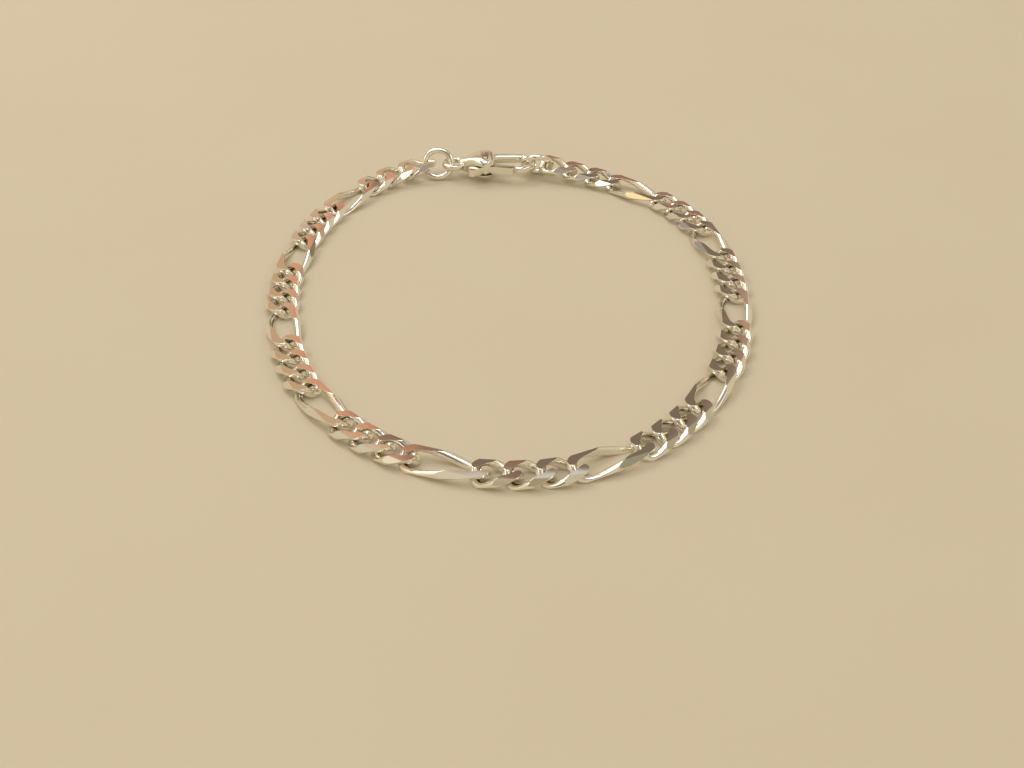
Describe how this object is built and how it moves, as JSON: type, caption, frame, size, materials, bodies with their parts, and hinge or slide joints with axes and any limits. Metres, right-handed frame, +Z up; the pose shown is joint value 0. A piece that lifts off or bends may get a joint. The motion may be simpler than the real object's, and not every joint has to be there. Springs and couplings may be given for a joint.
{
  "type": "link bracelet",
  "caption": "Flat diamond-cut figaro chain bracelet in polished silver, closed into a loop by a lobster clasp with a sprung lever.",
  "frame": {"origin": "on the surface that the bracelet lies on, under the centre of its box", "axes": "+Z up, out of the surface; +Y along the longer way of the loop, towards the clasp; +X to the right"},
  "size_m": [0.0569, 0.0743, 0.0038],
  "materials": {
    "long_link_silver": "polished sterling silver, diamond cut flats",
    "short_link_silver": "polished sterling silver, diamond cut flats",
    "ring_silver": "polished sterling silver wire",
    "clasp_silver": "polished cast sterling silver"
  },
  "bodies": {
    "bracelet": {"short_link_01": "short_link_silver", "short_link_02": "short_link_silver", "short_link_03": "short_link_silver", "long_link_01": "long_link_silver", "short_link_04": "short_link_silver", "short_link_05": "short_link_silver", "short_link_06": "short_link_silver", "long_link_02": "long_link_silver", "short_link_07": "short_link_silver", "short_link_08": "short_link_silver", "short_link_09": "short_link_silver", "long_link_03": "long_link_silver", "short_link_10": "short_link_silver", "short_link_11": "short_link_silver", "short_link_12": "short_link_silver", "long_link_04": "long_link_silver", "short_link_13": "short_link_silver", "short_link_14": "short_link_silver", "short_link_15": "short_link_silver", "long_link_05": "long_link_silver", "short_link_16": "short_link_silver", "short_link_17": "short_link_silver", "short_link_18": "short_link_silver", "long_link_06": "long_link_silver", "short_link_19": "short_link_silver", "short_link_20": "short_link_silver", "short_link_21": "short_link_silver", "long_link_07": "long_link_silver", "short_link_22": "short_link_silver", "short_link_23": "short_link_silver", "short_link_24": "short_link_silver", "long_link_08": "long_link_silver", "short_link_25": "short_link_silver", "short_link_26": "short_link_silver", "short_link_27": "short_link_silver", "long_link_09": "long_link_silver", "short_link_28": "short_link_silver", "short_link_29": "short_link_silver", "short_link_30": "short_link_silver", "long_link_10": "long_link_silver", "short_link_31": "short_link_silver", "short_link_32": "short_link_silver", "short_link_33": "short_link_silver", "jump_ring_a": "ring_silver", "jump_ring_b": "ring_silver", "clasp_body": "clasp_silver", "clasp_pin": "clasp_silver"},
    "lever": {"clasp_lever": "clasp_silver"}
  },
  "joints": [
    {"name": "lever_hinge", "type": "hinge", "parent": "bracelet", "child": "lever", "pos_m": [-0.00339, 0.03336, 0.00192], "axis": [0, 0, 1], "range_deg": [0, 28], "stiffness_Nm_per_rad": 0.0005}
  ]
}
